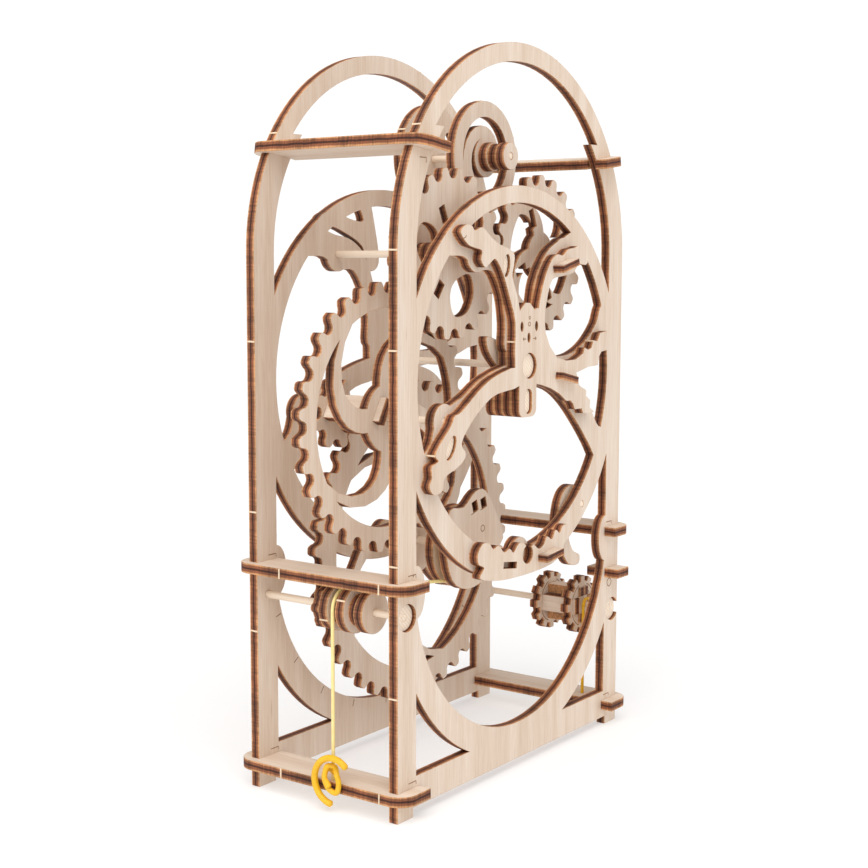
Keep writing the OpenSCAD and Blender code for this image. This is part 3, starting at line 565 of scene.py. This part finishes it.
def tube(made, path, radius, sides=14):
    """A round cord through the points of path, with rounded ends, into the bmesh made."""
    uv = made.loops.layers.uv.get("along_cord") or made.loops.layers.uv.new("along_cord")
    first, last = (path[1] - path[0]).normalized(), (path[-1] - path[-2]).normalized()
    path = [path[0] - first * radius * 0.5] + list(path) + [path[-1] + last * radius * 0.5]
    swell = [0.45] + [1.0] * (len(path) - 2) + [0.45]
    side = first.orthogonal().normalized()
    rows, run, before = [], 0.0, path[0]
    for i, p in enumerate(path):
        way = (path[min(i + 1, len(path) - 1)] - path[max(i - 1, 0)]).normalized()
        side = (side - way * side.dot(way)).normalized()
        up = way.cross(side)
        run += (p - before).length
        before = p
        rows.append((run, [made.verts.new(p + (side * math.cos(t) + up * math.sin(t)) * radius * swell[i])
                           for t in (2 * math.pi * k / sides for k in range(sides))]))
    for (ra, a), (rb, b) in zip(rows, rows[1:]):
        for k in range(sides):
            j = (k + 1) % sides
            wall = made.faces.new((a[k], a[j], b[j], b[k]))
            wall.smooth = True
            for loop, value in zip(wall.loops, ((k, ra), (k + 1, ra), (k + 1, rb), (k, rb))):
                loop[uv].uv = (value[0] / sides, value[1] * 100)
    made.faces.new(list(reversed(rows[0][1])))
    made.faces.new(rows[-1][1])


def cord_piece(name, runs, mat, body, *stands_for):
    """One cord piece of several runs, each a path and a radius."""
    made = bmesh.new()
    for path, radius in runs:
        tube(made, path, radius)
    bmesh.ops.recalc_face_normals(made, faces=made.faces)
    mesh = bpy.data.meshes.new(name)
    made.to_mesh(mesh)
    mesh.materials.append(mat)
    piece = placed(name, mesh)
    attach(piece, body)
    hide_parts(*stands_for)


def rounded(corners, steps=6):
    """A smooth curve through a few points, for the loops of a knot."""
    ends = [corners[0] * 2 - corners[1]] + list(corners) + [corners[-1] * 2 - corners[-2]]
    out = []
    for a, b, c, d in zip(ends, ends[1:], ends[2:], ends[3:]):
        for i in range(steps):
            t = i / steps
            out.append(0.5 * ((2 * b) + (c - a) * t + (2 * a - 5 * b + 4 * c - d) * t * t
                              + (3 * b - a - 3 * c + d) * t ** 3))
    return out + [corners[-1]]


stretched = rubber("stretched_yellow_rubber", cord_stretched, cord_shade)
knotted = rubber("moulded_yellow_rubber", cord_yellow, cord_deep)

drum_z, wrap_r, drum_t, cord_y, slat_face = 79.5, 7.0, 13.0, -6.4, 10.4
drum_off, drum_up = -spool_x, drum_z - spool_z
run = math.hypot(drum_off, drum_up)
rise = math.degrees(math.atan2(drum_up, drum_off) - math.asin((wrap_r + drum_t) / run))
strand = [spot(spool_x - wrap_r, cord_y, z) for z in (slat_face, 24, 38, 52, 62)]
strand += [spot(x, cord_y, z) for x, z in arc(spool_x, spool_z, wrap_r, 180, rise + 90, 16)]
leave = strand[-1]
away = Vector((math.cos(math.radians(rise)), 0, math.sin(math.radians(rise))))
reach = math.sqrt(run ** 2 - (wrap_r + drum_t) ** 2) / 1000
strand += [leave + away * reach * t for t in (0.25, 0.5, 0.75, 0.985)]
cord_piece("cord_strand", [(strand, cord_radius)], stretched, "frame", "cord_left")

knot_x = -77.25
tail = [spot(knot_x, cord_y - 2.1 + 8 * math.sin(math.radians(a)), 11 + 8 * math.cos(math.radians(a)))
        for a in range(-43, 181, 8)]
loops = rounded([spot(-74.4, cord_y - 0.4, 13.2), spot(-75.6, cord_y + 1.2, 14.6),
                 spot(-77.3, cord_y + 1.6, 12.2), spot(-77.5, cord_y - 0.4, 8.4),
                 spot(-77.3, cord_y - 3.6, 7.4), spot(-77.2, cord_y - 4.6, 10.4),
                 spot(-76.8, cord_y - 3.4, 13.6), spot(-75.4, cord_y - 1.4, 15.4),
                 spot(-77.0, cord_y + 0.6, 15.6), spot(-78.0, cord_y + 0.8, 12.0),
                 spot(-78.1, cord_y - 1.2, 9.4)])
cord_piece("cord_knot_loops", [(tail, knot_radius), (loops, loop_radius)], knotted, "frame", "cord_knot")

hook_r, hook_y = 2.5, -20.8
hook = [spot(lantern_x - hook_r, hook_y, z) for z in (slat_face, 18, 26, 34, 41)]
hook += [spot(x, hook_y, z) for x, z in arc(lantern_x, lantern_z, hook_r, 180, -60, 18)]
cord_piece("cord_hook", [(hook, cord_radius)], knotted, "frame", "cord_right")

# ---- Cord wound on the drum -------------------------------------------------------
# The other end of the cord is wound tightly round the drum on the great wheel's axle, in
# three close turns that lie between the two flanges.
turns, wind_r, wind_wide, wind_thin = 3.0, 0.01163, 0.0014, 0.00040
wind_tree = bpy.data.node_groups.new("cord_turns", "GeometryNodeTree")
face = wind_tree.interface
face.new_socket("Geometry", in_out="INPUT", socket_type="NodeSocketGeometry")
for name in ("Turns", "Radius", "Spread", "Thickness"):
    face.new_socket(name, in_out="INPUT", socket_type="NodeSocketFloat")
face.new_socket("Geometry", in_out="OUTPUT", socket_type="NodeSocketGeometry")
given = put(wind_tree, "NodeGroupInput")
coil = put(wind_tree, "GeometryNodeCurveSpiral", {"Resolution": 48, "Rotations": given.outputs["Turns"],
                                                  "Start Radius": given.outputs["Radius"],
                                                  "End Radius": given.outputs["Radius"],
                                                  "Height": given.outputs["Spread"]})
ring = put(wind_tree, "GeometryNodeCurvePrimitiveCircle", {"Resolution": 10,
                                                           "Radius": given.outputs["Thickness"]})
wound = put(wind_tree, "GeometryNodeCurveToMesh", {"Curve": coil.outputs[0],
                                                   "Profile Curve": ring.outputs[0], "Fill Caps": True})
turned = put(wind_tree, "GeometryNodeTransform", {"Geometry": wound.outputs[0],
                                                  "Rotation": (math.radians(90), 0, 0),
                                                  "Translation": spot(0, cord_y + 0.7, drum_z)})
real = put(wind_tree, "GeometryNodeRealizeInstances", {0: turned.outputs[0]})
skin = put(wind_tree, "GeometryNodeSetMaterial", {"Geometry": real.outputs[0], "Material": knotted})
put(wind_tree, "NodeGroupOutput", {0: skin.outputs[0]})
winding = plain_mesh("cord_turns", bpy.data.meshes.new("cord_turns_seed"), wind_tree,
                     {"Turns": turns, "Radius": wind_r, "Spread": wind_wide, "Thickness": wind_thin})
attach(winding, "great")
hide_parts("cord_coil")
